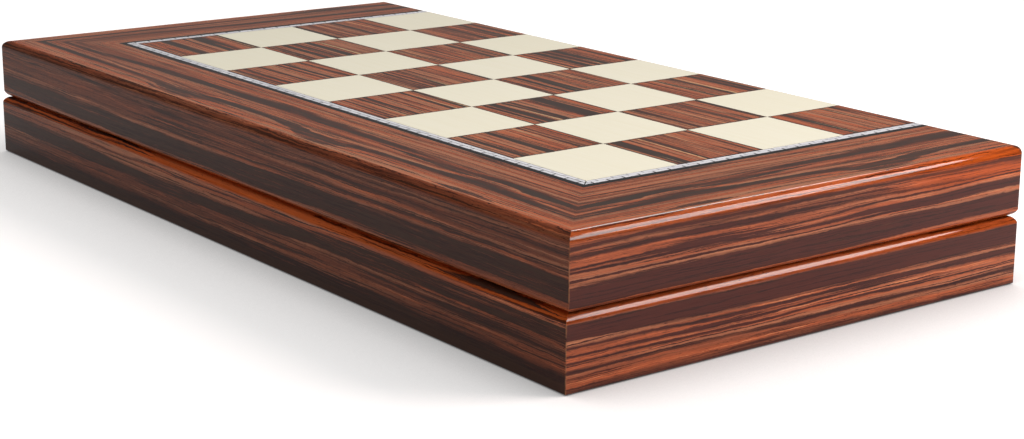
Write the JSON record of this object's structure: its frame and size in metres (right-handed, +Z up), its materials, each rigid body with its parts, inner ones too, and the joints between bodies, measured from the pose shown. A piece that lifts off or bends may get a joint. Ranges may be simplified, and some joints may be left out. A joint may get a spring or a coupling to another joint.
{
  "type": "folding backgammon case",
  "caption": "Folding backgammon and chess case: two lacquered inlaid wooden trays on brass hinges, closed, with checkers and dice stored inside.",
  "frame": {"origin": "middle of the closed case's bounding box on the surface that it stands on", "axes": "+X along the case towards the right short end, +Y from the front to the hinge side, +Z up"},
  "size_m": [0.48, 0.2428, 0.059],
  "materials": {
    "striped_rail": "striped dark hardwood under high-gloss lacquer",
    "striped_veneer": "striped dark veneer under high-gloss lacquer",
    "striped_square": "striped dark veneer under high-gloss lacquer",
    "cream_square": "cream maple veneer under high-gloss lacquer",
    "black_line": "black-dyed veneer under high-gloss lacquer",
    "pearl_brick": "pearl-grey inlay under high-gloss lacquer",
    "core_board": "plain fibreboard",
    "ground_veneer": "walnut veneer, satin lacquer",
    "dark_point": "dark striped veneer, satin lacquer",
    "light_point": "maple veneer, satin lacquer",
    "hinge_brass": "polished brass",
    "plated_magnet": "nickel-plated magnet",
    "light_checker": "turned beech, lacquered",
    "dark_checker": "turned dark wood, lacquered",
    "ivory_die": "polished cream plastic with dark pips"
  },
  "bodies": {
    "base": {"base_core": "core_board", "base_front_rail": "striped_rail", "base_back_rail": "striped_rail", "base_left_rail": "striped_rail", "base_right_rail": "striped_rail", "base_front_border": "striped_veneer", "base_left_border": "striped_veneer", "base_right_border": "striped_veneer", "base_dark_squares": "striped_square", "base_light_squares": "cream_square", "base_line_inlay": "black_line", "base_brick_inlay": "pearl_brick", "base_playing_field": "ground_veneer", "base_dark_points": "dark_point", "base_light_points": "light_point", "base_hinge_leaves": "hinge_brass", "base_hinge_screws": "hinge_brass", "base_magnets": "plated_magnet", "hinge_pins": "hinge_brass", "light_checkers": "light_checker", "dark_checkers": "dark_checker", "dice": "ivory_die"},
    "lid": {"lid_core": "core_board", "lid_front_rail": "striped_rail", "lid_back_rail": "striped_rail", "lid_left_rail": "striped_rail", "lid_right_rail": "striped_rail", "lid_front_border": "striped_veneer", "lid_left_border": "striped_veneer", "lid_right_border": "striped_veneer", "lid_dark_squares": "striped_square", "lid_light_squares": "cream_square", "lid_line_inlay": "black_line", "lid_brick_inlay": "pearl_brick", "lid_playing_field": "ground_veneer", "lid_dark_points": "dark_point", "lid_light_points": "light_point", "lid_hinge_leaves": "hinge_brass", "lid_hinge_screws": "hinge_brass", "lid_magnets": "plated_magnet"}
  },
  "joints": [
    {"name": "lid_hinge", "type": "hinge", "parent": "base", "child": "lid", "pos_m": [0, 0.1189, 0.0295], "axis": [-1, 0, 0], "range_deg": [0, 180]}
  ]
}
